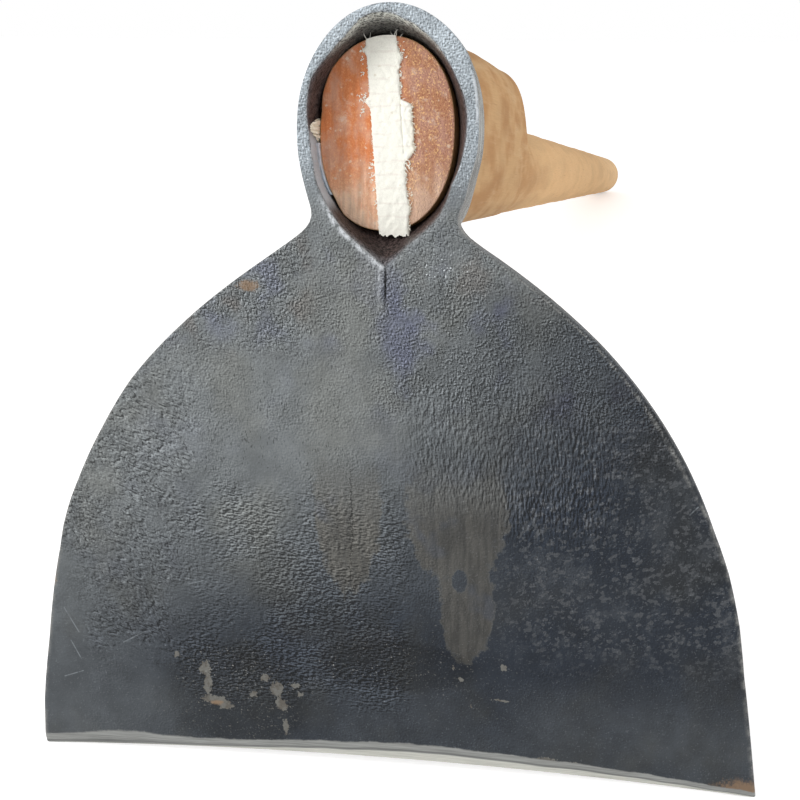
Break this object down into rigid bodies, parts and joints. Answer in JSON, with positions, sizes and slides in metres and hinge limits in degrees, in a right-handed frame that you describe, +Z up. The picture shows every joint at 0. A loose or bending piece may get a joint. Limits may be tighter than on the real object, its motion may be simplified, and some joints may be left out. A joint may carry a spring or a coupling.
{
  "type": "vineyard hoe",
  "caption": "Broad curved-shouldered digging hoe: forged blade with an oval eye, long round wooden handle swelling behind the eye, held by a driven wedge.",
  "frame": {"origin": "on the ground under the middle of the hoe's box, with the hoe at rest on the two corners of its blade and the butt of its handle", "axes": "+Z up, +Y along the handle from the head to the butt, +X to the right of someone looking at the blade's front face"},
  "size_m": [0.2248, 1.4964, 0.2327],
  "materials": {
    "black_steel": "dark forged scale under a thin lacquer, semi-gloss, brighter where worn",
    "handle_wood": "smooth varnished straight-grained hardwood",
    "pale_wood": "bare cream hardwood, rough sawn",
    "shim_steel": "smooth blue-grey sheet",
    "torn_wood": "torn raw fibres"
  },
  "bodies": {
    "root": {"hoe_head": "black_steel", "handle": "handle_wood", "wedge": "pale_wood", "eye_shim": "shim_steel", "splinter": "torn_wood"}
  },
  "joints": []
}
